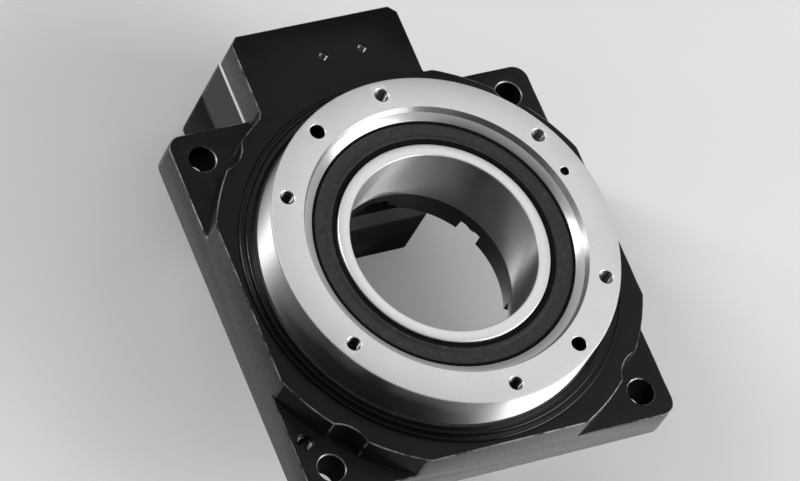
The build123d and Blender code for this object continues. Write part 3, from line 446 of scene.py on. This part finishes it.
def look_by_face(obj, looks, rule):
    """Gives each face the look that rule names for its radius, centre and normal. Worn edges keep theirs."""
    for polygon in obj.data.polygons:
        if polygon.material_index == EDGE_LOOK:
            continue
        c, n = polygon.center / MM, polygon.normal
        polygon.material_index = looks.index(rule(hypot(c.x, c.y), c, n))


def piece(obj, body, slot, *replaced):
    if replaced:
        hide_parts(*replaced)
    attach(obj, body)


def thread_rings(name, x, y, hole_r, bottom, top, body, slot, depth, pitch=0.8, look="thread"):
    """Thread as a ridged sleeve inside a tapped hole, its flanks 60 degrees apart."""
    crest = hole_r - THREAD_GAP
    core = crest - depth
    rise = depth * tan(radians(30))
    flat = pitch / 2 - rise
    profile = []
    z = bottom
    while z < top - pitch:
        profile += [(crest, z), (crest, z + flat), (core, z + flat + rise), (core, z + pitch - rise)]
        z += pitch
    profile += [(crest, z), (crest + THREAD_SKIN, z), (crest + THREAD_SKIN, bottom)]
    obj = lathe(name, profile, 40, (x, y))
    smooth(obj, 25)
    dress(obj, look)
    piece(obj, body, slot)


def dress_nodes():
    """Nodes that stay as they are get their slot's look."""
    slots = {s["node"]: s["material_slot"] for s in frame["record"]["subparts"]}
    for name, obj in frame["nodes"].items():
        look = MATERIALS[NODE_LOOKS.get(name) or SLOT_LOOKS.get(slots[name], slots[name])]
        if obj.material_slots:
            for material_slot in obj.material_slots:
                material_slot.material = look
        else:
            obj.data.materials.append(look)


# Table, seal, sleeve and ring
def make_table():
    table = lathe("table_dressed", [
        (TABLE_FACE_INNER_R, TABLE_Z), (TABLE_STEP_R, LEDGE_Z), (SEAL_R + 0.25, SEAL_TOP + 0.1),
        (SEAL_R, SEAL_TOP - 0.15), (SEAL_R, BEARING_TOP), (BEARING_R, BEARING_TOP), (BEARING_R, TABLE_BOTTOM),
        (TABLE_R, TABLE_BOTTOM), (TABLE_R, TABLE_Z - TABLE_EDGE), (TABLE_R - 0.15, TABLE_Z - 0.15),
        (TABLE_R - TABLE_EDGE, TABLE_Z),
    ], steps=360)
    taps = [polar(TAP_CIRCLE_R, TAP_ANGLE + turn) for turn in SIXTHS]
    dowels = [polar(TAP_CIRCLE_R, DOWEL_ANGLE), polar(TAP_CIRCLE_R, DOWEL_ANGLE + 180)]
    gear_screws = [polar(GEAR_SCREW_CIRCLE_R, GEAR_SCREW_ANGLE + turn) for turn in SIXTHS]
    below = TABLE_BOTTOM - OVERRUN
    tools = [countersunk(x, y, TAP_R, TAP_BOTTOM, TABLE_Z, flare=0.22) for x, y in taps]
    tools += [countersunk(x, y, DOWEL_R, BLIND_Z, TABLE_Z, flare=0.12) for x, y in dowels]
    tools.append(countersunk(*polar(INDEX_CIRCLE_R, INDEX_ANGLE), INDEX_R, BLIND_Z, TABLE_Z, flare=0.1))
    tools += [drill(x, y, GEAR_SCREW_R, below, GEAR_SCREW_TOP, steps=24) for x, y in gear_screws]
    boolean(table, tools, "DIFFERENCE")
    smooth(table, 30)

    def rule(radius, c, n):
        if n.z > 0.3 and radius > TABLE_STEP_R + 0.5:
            return "table_face"
        if radius < TABLE_FACE_INNER_R + 0.1 and c.z > SEAL_TOP:
            return "table_ledge"
        # Walls of the tapped holes: the dark thread look, painted shade inside the holes
        if TABLE_FACE_INNER_R + 0.3 < radius < TABLE_R - TABLE_EDGE and c.z > TAP_BOTTOM - 0.5:
            # Dowel hole walls: the near-black hole look, painted shade inside the holes
            in_dowel = any(hypot(c.x - x, c.y - y) < DOWEL_R + 0.05 for x, y in dowels)
            return "hole_painted_shade" if in_dowel else "thread"
        return "table_rim"

    looks = ("table_face", "table_rim", "thread", "hole_painted_shade", "table_ledge")
    dress(table, *looks)
    look_by_face(table, looks, rule)
    piece(table, "table", "table_steel", "rotary_table")
    for i, (x, y) in enumerate(taps):
        thread_rings(f"table_thread_{i + 1}", x, y, TAP_R, TAP_BOTTOM + 0.8, TABLE_Z - 0.2,
                     "table", "table_steel", depth=0.25)


def make_seal():
    """Rubber seal with a rounded bead at each side of a flat band, and a lip at the sleeve."""
    outer = SEAL_R - 0.04
    lip = SLEEVE_R + 0.05
    seal = lathe("table_seal_dressed", [
        (outer, SEAL_BOTTOM), (outer, 35.05), (43.2, 35.3), (42.9, SEAL_TOP), (42.5, 35.38), (42.25, 35.1),
        (42.0, 35.0), (39.4, 35.0), (38.7, 35.02), (38.3, 35.1), (37.9, 35.32), (37.6, SEAL_TOP),
        (37.2, 35.38), (36.9, 35.25), (36.5, 35.12), (36.0, 35.05), (35.5, 34.8), (lip, 34.4), (lip, 34.1),
        (35.9, 33.9), (37.6, 33.9), (38.4, SEAL_BOTTOM),
    ])
    smooth(seal, 40)

    def rule(radius, c, n):
        # The bead at the table's wall and the lip at the sleeve take the darker look, painted shade
        return "seal_edge_painted_shade" if radius > 42.2 or radius < 36.8 else "seal_rubber"

    looks = ("seal_rubber", "seal_edge_painted_shade")
    dress(seal, *looks)
    look_by_face(seal, looks, rule)
    piece(seal, "table", "seal_rubber", "table_seal")


def make_sleeve():
    """Sleeve with its foot, bearing shoulder, circlip groove and rounded rim."""
    groove_r, groove_top = SLEEVE_R - 1.0, BEARING_TOP + 1.2
    sleeve = lathe("center_sleeve_dressed", [
        (BORE_R, SLEEVE_FOOT_Z), (SLEEVE_FOOT_R, SLEEVE_FOOT_Z), (SLEEVE_FOOT_R, 17.8),
        (SLEEVE_SHOULDER_R, 18.8), (SLEEVE_SHOULDER_R, BEARING_BOTTOM), (SLEEVE_R, BEARING_BOTTOM),
        (SLEEVE_R, BEARING_TOP), (groove_r, BEARING_TOP), (groove_r, groove_top), (SLEEVE_R, groove_top),
        (SLEEVE_R, SLEEVE_TOP - 0.35), (SLEEVE_R - 0.1, SLEEVE_TOP - 0.15), (SLEEVE_R - 0.35, SLEEVE_TOP),
        (BORE_R + 0.6, SLEEVE_TOP), (BORE_R + 0.25, SLEEVE_TOP - 0.1), (BORE_R + 0.05, SLEEVE_TOP - 0.35),
        (BORE_R, SLEEVE_TOP - 0.6),
    ])
    smooth(sleeve, 35)

    def rule(radius, c, n):
        return "ground_steel" if c.z > SLEEVE_TOP - 0.3 and n.z > 0.2 else "bore_wall"

    looks = ("ground_steel", "bore_wall")
    dress(sleeve, *looks)
    look_by_face(sleeve, looks, rule)
    piece(sleeve, "body", "ground_steel", "center_sleeve")


def make_ring():
    """Glossy ring round the table: an inner band with a lip, a groove and a raised outer edge."""
    outer, inner = RING_R - 0.02, CAVITY_R - 0.5
    ring = lathe("dust_ring_dressed", [
        (inner, RING_SEAT_Z), (outer, RING_SEAT_Z), (outer, 23.55), (63.3, 23.75), (62.98, 24.0),
        (62.45, 24.02), (62.25, 23.9), (62.18, 23.42), (61.4, 23.4), (61.28, 23.9), (61.1, 24.15),
        (60.75, RING_TOP - 0.02), (59.6, RING_TOP), (59.0, 24.25), (58.7, 24.05), (58.6, 23.8), (58.6, 23.4),
        (59.6, 23.4), (59.6, 22.3), (inner, 22.3),
    ], steps=360)
    smooth(ring, 45)
    dress(ring, "gloss_black")
    piece(ring, "body", "gloss_black", "dust_ring")


# Body
def body_outline():
    """Square with its corners cut by a circle."""
    half_flat = degrees(atan2(sqrt(BODY_R**2 - BASE_HALF**2), BASE_HALF))
    points = []
    for quarter in range(4):
        points += arc((0.0, 0.0), BODY_R, 90 * quarter + half_flat, 90 * (quarter + 1) - half_flat, 30)
    return points


def block_outline():
    """Motor block with its cut back corners and the round that joins it to the body on its left."""
    centre_x = BLOCK_LEFT - BLOCK_FILLET_R
    centre_y = sqrt((BODY_R + BLOCK_FILLET_R) ** 2 - centre_x**2)
    to_body = BODY_R / (BODY_R + BLOCK_FILLET_R)
    touch = (centre_x * to_body, centre_y * to_body)
    start = degrees(atan2(touch[1] - centre_y, touch[0] - centre_x))
    swing = arc((centre_x, centre_y), BLOCK_FILLET_R, start, 0.0, 10)
    inside_right = (BLOCK_RIGHT, 50.0)
    inside_left = (touch[0] * 0.9, touch[1] * 0.9)
    back = [(BLOCK_RIGHT, BLOCK_BACK - BLOCK_CUT), (BLOCK_RIGHT - BLOCK_CUT, BLOCK_BACK),
            (BLOCK_LEFT + BLOCK_CUT, BLOCK_BACK), (BLOCK_LEFT, BLOCK_BACK - BLOCK_CUT)]
    return [inside_right] + back + swing[::-1] + [inside_left]


def notch_outline(angle):
    """Slot with a round end in the floor's bore, for a sleeve screw."""
    u, v = polar(1.0, angle), polar(1.0, angle + 90)
    local = [(20.0, -NOTCH_R), (NOTCH_CIRCLE_R, -NOTCH_R)]
    local += arc((NOTCH_CIRCLE_R, 0.0), NOTCH_R, -90, 90, 16)[1:-1]
    local += [(NOTCH_CIRCLE_R, NOTCH_R), (20.0, NOTCH_R)]
    return [(p * u[0] + q * v[0], p * u[1] + q * v[1]) for p, q in local]


def make_housing():
    upper = prism("upper", body_outline(), BODY_BOTTOM, BODY_TOP)
    boolean(upper, [prism("block", block_outline(), BODY_BOTTOM, BODY_TOP)], "UNION")
    bites = [drill(x, y, EAR_BITE_R, BODY_BOTTOM - 0.75, BODY_TOP + OVERRUN, steps=96) for x, y in EARS]
    boolean(upper, bites, "DIFFERENCE")
    slab = prism("housing_dressed", rounded_square(0, 0, BASE_HALF, BASE_CORNER_R), 0.0, EAR_TOP)
    boolean(slab, [upper], "UNION")
    looks = ("black_body", "body_side_wear_and_light", "worn_edge", "hole_painted_shade")
    dress(slab, *looks)
    round_edges(slab, 0.35)
    tools = [countersunk(x, y, EAR_HOLE_R, -OVERRUN, EAR_TOP, flare=0.35, steps=64) for x, y in EARS]
    tools.append(countersunk(EAR_PORT_X, EAR_PORT_Y, EAR_PORT_R, -OVERRUN, EAR_TOP, flare=0.5))
    tools.append(drill(0, 0, CAVITY_R, FLOOR_TOP, RING_SEAT_Z + OVERRUN, steps=180))
    tools.append(drill(0, 0, RING_R, RING_SEAT_Z, BODY_TOP + OVERRUN, steps=180))
    tools.append(drill(PINION_X, PINION_Y, PINION_ROOM_R, FLOOR_TOP - OVERRUN, PINION_ROOM_TOP))
    tools.append(drill(PINION_X, PINION_Y, BOSS_SEAT_R, -OVERRUN, FLOOR_TOP + 0.5, steps=96))
    recess = rounded_square(PINION_X, PINION_Y, FLANGE_HALF + RECESS_GAP, FLANGE_CORNER_R + RECESS_GAP)
    tools.append(prism("recess", recess, -OVERRUN, RECESS_DEPTH))
    tools.append(drill(0, 0, FLOOR_BORE_R, -OVERRUN, FLOOR_TOP + OVERRUN, steps=180))
    tools.append(drill(0, 0, SLEEVE_FOOT_R + 0.02, SLEEVE_FOOT_Z, FLOOR_TOP + OVERRUN, steps=180))
    for turn in SIXTHS:
        tools.append(prism("notch", notch_outline(NOTCH_ANGLE + turn), -OVERRUN, NOTCH_TOP))
        x, y = polar(NOTCH_CIRCLE_R, NOTCH_ANGLE + turn)
        tools.append(drill(x, y, SLEEVE_SCREW_HOLE_R, NOTCH_TOP - 0.6, FLOOR_TOP + 0.5, steps=24))
    for sx, sy in CORNERS:
        x, y = PINION_X + CARRIER_SCREW_XY * sx, PINION_Y + CARRIER_SCREW_XY * sy
        top = CARRIER_SCREW_TOP_BACK if y > BASE_HALF else CARRIER_SCREW_TOP_FRONT
        tools.append(drill(x, y, CARRIER_SCREW_R, -OVERRUN, top, steps=24))
    sensors = [(SENSOR_X + side * SENSOR_SPREAD, SENSOR_Y) for side in (-1, 1)]
    tools += [countersunk(x, y, SENSOR_R, SENSOR_BOTTOM, BODY_TOP, flare=0.3, steps=32) for x, y in sensors]
    boolean(slab, tools, "DIFFERENCE")
    smooth(slab, 30)

    def rule(radius, c, n):
        upright = abs(n.z) < 0.3
        ear = min(hypot(c.x - x, c.y - y) for x, y in EARS)
        # Ear hole walls: the near-black hole look, painted shade inside the holes
        if ear < EAR_HOLE_R + 0.1 and upright:
            return "hole_painted_shade"
        if ear < EAR_HOLE_R + 0.5 and 0.3 < n.z < 0.95:
            return "worn_edge"
        behind_base = c.y > BASE_HALF + 1
        base_side = max(abs(c.x), abs(c.y)) > BASE_HALF - 1 and c.y < BASE_HALF + 1
        block_side = behind_base and radius > BODY_R - 0.6
        # Upright outer walls of base and block take the lighter side look: painted light, with real specks of
        # wear
        return "body_side_wear_and_light" if upright and (base_side or block_side) else "black_body"

    look_by_face(slab, looks, rule)
    for polygon in slab.data.polygons:
        inner_corner = EAR_TOP + 0.02 < polygon.center.z / MM < EAR_TOP + 0.6
        if polygon.material_index == EDGE_LOOK and inner_corner:
            polygon.material_index = looks.index("black_body")
    piece(slab, "body", "black_body", "housing")
    for (x, y), tag in zip(sensors, "ab"):
        thread_rings(f"sensor_thread_{tag}", x, y, SENSOR_R, SENSOR_BOTTOM + 0.4, BODY_TOP - 0.4,
                     "body", "black_body", depth=0.2, pitch=0.5)
    # The ear port's thread takes the darker screw steel, painted shade inside the hole
    thread_rings("ear_thread", EAR_PORT_X, EAR_PORT_Y, EAR_PORT_R, 0.6, EAR_TOP - 0.4,
                 "body", "black_body", depth=0.25, look="screw_steel")


# Lower block, with its edges rounded and the holes cut
def make_adapter():
    outline = rounded_square(PINION_X, PINION_Y, FLANGE_HALF, FLANGE_CORNER_R, steps=12)
    adapter = prism("motor_adapter_dressed", outline, ADAPTER_BOTTOM, ADAPTER_TOP)
    # The second look, near black, is painted shade for hole walls
    dress(adapter, "adapter_body", "hole_painted_shade", "adapter_edge")
    round_edges(adapter, 0.3)
    below, above = ADAPTER_BOTTOM - OVERRUN, ADAPTER_TOP + 1.8
    tools = [drill(PINION_X, PINION_Y, ADAPTER_CAVITY_R, below, above, steps=128),
             drill(PINION_X, PINION_Y, MOTOR_PILOT_R, below, MOTOR_PILOT_TOP, steps=128)]
    for (x, y), (sx, sy) in zip(MOTOR_TAPS, CORNERS):
        tools.append(countersunk(x, y, MOTOR_TAP_R, MOTOR_TAP_TOP, ADAPTER_BOTTOM, flare=0.35, steps=40))
        x, y = PINION_X + ADAPTER_SCREW_X * sx, PINION_Y + ADAPTER_SCREW_Y * sy
        tools.append(drill(x, y, ADAPTER_SCREW_R, below, above, steps=24))
        tools.append(drill(x, y, ADAPTER_HEAD_R, below, ADAPTER_HEAD_TOP, steps=32))
    for x, y in ((PINION_X - ADAPTER_DOWEL_X, PINION_Y),
                 (PINION_X + ADAPTER_DOWEL_X, PINION_Y - ADAPTER_DOWEL_SHIFT)):
        tools.append(drill(x, y, ADAPTER_DOWEL_R, ADAPTER_DOWEL_BOTTOM, above, steps=24))
    access = drill(0, 0, ACCESS_R, -ACCESS_HALF, ACCESS_HALF)
    access.matrix_world = Matrix.Translation(Vector((BLOCK_RIGHT, PINION_Y + ACCESS_Y, ACCESS_Z)) * MM) \
        @ Matrix.Rotation(radians(90), 4, "Y")
    tools.append(access)
    boolean(adapter, tools, "DIFFERENCE")
    smooth(adapter, 30)
    piece(adapter, "body", "adapter_body", "motor_adapter")
    for i, (x, y) in enumerate(MOTOR_TAPS):
        thread_rings(f"motor_thread_{i + 1}", x, y, MOTOR_TAP_R, ADAPTER_BOTTOM + 0.5, MOTOR_TAP_TOP - 1.0,
                     "body", "adapter_body", depth=0.2)


# Floor, world and lights
FLOOR_Z, FLOOR_HALF, FLAG_R = ADAPTER_BOTTOM - 0.3, 4000.0, 150.0


def on_floor(outline, lift=0.1):
    return [(x, y, FLOOR_Z + lift) for x, y in outline]


def make_floor():
    """Pale matt floor that shows the part's shadow."""
    half = FLOOR_HALF
    floor = make_object("floor", on_floor([(-half, -half), (half, -half), (half, half), (-half, half)], 0.0),
                        [(0, 1, 2, 3)])
    material, tree, shader = node_material("floor_pale", 0.0, 0.8, specular=0.03)
    value = noise(tree, place(tree), 6.0, 3.0, 0.5)
    tree.links.new(ramp(tree, value, [(0.3, grey(0.72)), (0.7, grey(0.77))]), shader.inputs["Base Color"])
    bump(tree, shader, noise(tree, place(tree), 220.0, 3.0, 0.5), 0.04, 0.0004)
    floor.data.materials.append(material)


def make_world():
    """Soft grey light, and a paler grey where the camera, glass or gloss sees the world itself."""
    world = bpy.data.worlds.new("studio")
    scene.world = world
    world.use_nodes = True
    tree = world.node_tree
    tree.nodes.clear()
    out = tree.nodes.new("ShaderNodeOutputWorld")
    light = tree.nodes.new("ShaderNodeBackground")
    light.inputs["Color"].default_value = (0.8, 0.81, 0.82, 1)
    light.inputs["Strength"].default_value = 0.38
    shown = tree.nodes.new("ShaderNodeBackground")
    shown.inputs["Color"].default_value = (0.56, 0.57, 0.58, 1)
    shown.inputs["Strength"].default_value = 1.0
    path = tree.nodes.new("ShaderNodeLightPath")
    mixer = tree.nodes.new("ShaderNodeMixShader")
    sharp = math_node(tree, "MAXIMUM", path.outputs["Is Camera Ray"], path.outputs["Is Transmission Ray"])
    tree.links.new(math_node(tree, "MAXIMUM", sharp, path.outputs["Is Glossy Ray"]), mixer.inputs[0])
    tree.links.new(light.outputs[0], mixer.inputs[1])
    tree.links.new(shown.outputs[0], mixer.inputs[2])
    tree.links.new(mixer.outputs[0], out.inputs[0])


def softbox(name, azimuth, elevation, distance, width, height, power):
    """Area light that looks at the part. Angles in degrees, lengths in metres, power in watts."""
    data = bpy.data.lights.new(name, "AREA")
    data.shape = "RECTANGLE"
    data.size, data.size_y = width, height
    data.energy = power
    obj = bpy.data.objects.new(name, data)
    a, e = radians(azimuth), radians(elevation)
    target = Vector((0, 0, 0.02))
    obj.location = (distance * cos(a) * cos(e), distance * sin(a) * cos(e), distance * sin(e) + target.z)
    obj.rotation_euler = (target - Vector(obj.location)).to_track_quat("-Z", "Y").to_euler()
    scene.collection.objects.link(obj)


# Cards that only reflections see
def only_reflected(obj, material):
    obj.data.materials.append(material)
    obj.visible_camera = False
    obj.visible_diffuse = False
    obj.visible_shadow = False
    obj.visible_transmission = False


def flag(name, start, end, high):
    """Black studio card bent round the part, from the floor up, angles in degrees."""
    line = arc((0.0, 0.0), FLAG_R, start, end, 40)
    verts = [(x, y, ADAPTER_BOTTOM) for x, y in line] + [(x, y, high) for x, y in line]
    count = len(line)
    obj = make_object(name, verts, [(k, k + 1, count + k + 1, count + k) for k in range(count - 1)])
    material, tree, shader = node_material(name, 0.0, 0.9, specular=0.0)
    value = noise(tree, place(tree), 30.0)
    tree.links.new(ramp(tree, value, [(0.3, grey(0.003)), (0.7, grey(0.006))]), shader.inputs["Base Color"])
    only_reflected(obj, material)


def card(name, corners, strength):
    """Flat card, glowing or nearly black, as a sheet of paper beside the part."""
    obj = make_object(name, corners, [tuple(range(len(corners)))])
    material, tree, out = empty_material(name)
    glow = tree.nodes.new("ShaderNodeEmission")
    glow.inputs["Strength"].default_value = strength
    color = ramp(tree, noise(tree, place(tree), 20.0), [(0.3, grey(0.92)), (0.7, grey(1.0))])
    tree.links.new(color, glow.inputs["Color"])
    tree.links.new(glow.outputs[0], out.inputs[0])
    only_reflected(obj, material)


def make_cards():
    flag("flag_front", start=156, end=284, high=420.0)
    flag("flag_left", start=50, end=122, high=95.0)
    card("card_right", on_floor([(-60, -66), (-20, -330), (330, -330), (120, -66)]), 1.0)
    card("card_left", on_floor([(-66, -70), (-66, 66), (-37, 66), (-37, 150), (-330, 300), (-330, -20)]), 0.5)
    # Under the bore: a dark card with two bright strips, which the sleeve's wall shows as streaks
    card("card_under", on_floor([(-64, -64), (64, -64), (64, 64), (-64, 64)]), 0.02)
    card("strip_right", on_floor([(12.5, 16.5), (15.5, 19.0), (4.0, 29.9), (0.0, 29.9)], 0.2), 5.0)
    card("strip_left", on_floor([(20.0, 12.0), (44.0, -1.0), (45.0, 1.5), (21.5, 15.0)], 0.2), 8.0)
    # In front of the block: a dark card, so that its front face stays black
    card("card_block", [(-36, 30, -33), (25, 30, -33), (25, 30, 10), (-36, 30, 10)], 0.01)


# Camera, from a fit to the photograph
def make_camera():
    """Rotation in radians, and the table's place in table radii, in axes that run right, down and forward."""
    rotation = Vector((2.6111, -0.4167, 0.5497))
    offset = Vector((0.26, -0.0169, 26.9487))
    data = bpy.data.cameras.new("camera")
    data.sensor_width = 36.0
    data.lens = 224.1
    data.clip_start = 0.05
    data.clip_end = 50.0
    camera = bpy.data.objects.new("camera", data)
    from_camera = Matrix.Rotation(rotation.length, 3, rotation.normalized()).transposed()
    position = Vector((0, 0, TABLE_Z * MM)) - (from_camera @ offset) * (TABLE_R * MM)
    orientation = from_camera @ Matrix.Diagonal(Vector((1, -1, -1)))
    camera.matrix_world = Matrix.Translation(position) @ orientation.to_4x4()
    scene.collection.objects.link(camera)
    scene.camera = camera


dress_nodes()
make_table()
make_seal()
make_sleeve()
make_ring()
make_housing()
make_adapter()
make_floor()
make_world()
softbox("key_left", azimuth=137, elevation=32, distance=1.2, width=0.12, height=0.8, power=8.0)
softbox("key_right", azimuth=322, elevation=26, distance=1.2, width=0.8, height=0.7, power=10.0)
softbox("low_right", azimuth=306, elevation=9, distance=1.2, width=0.85, height=0.35, power=7.0)
softbox("top", azimuth=38, elevation=56, distance=1.4, width=0.9, height=0.9, power=1.3)
make_cards()
make_camera()
scene.view_settings.view_transform = "Standard"
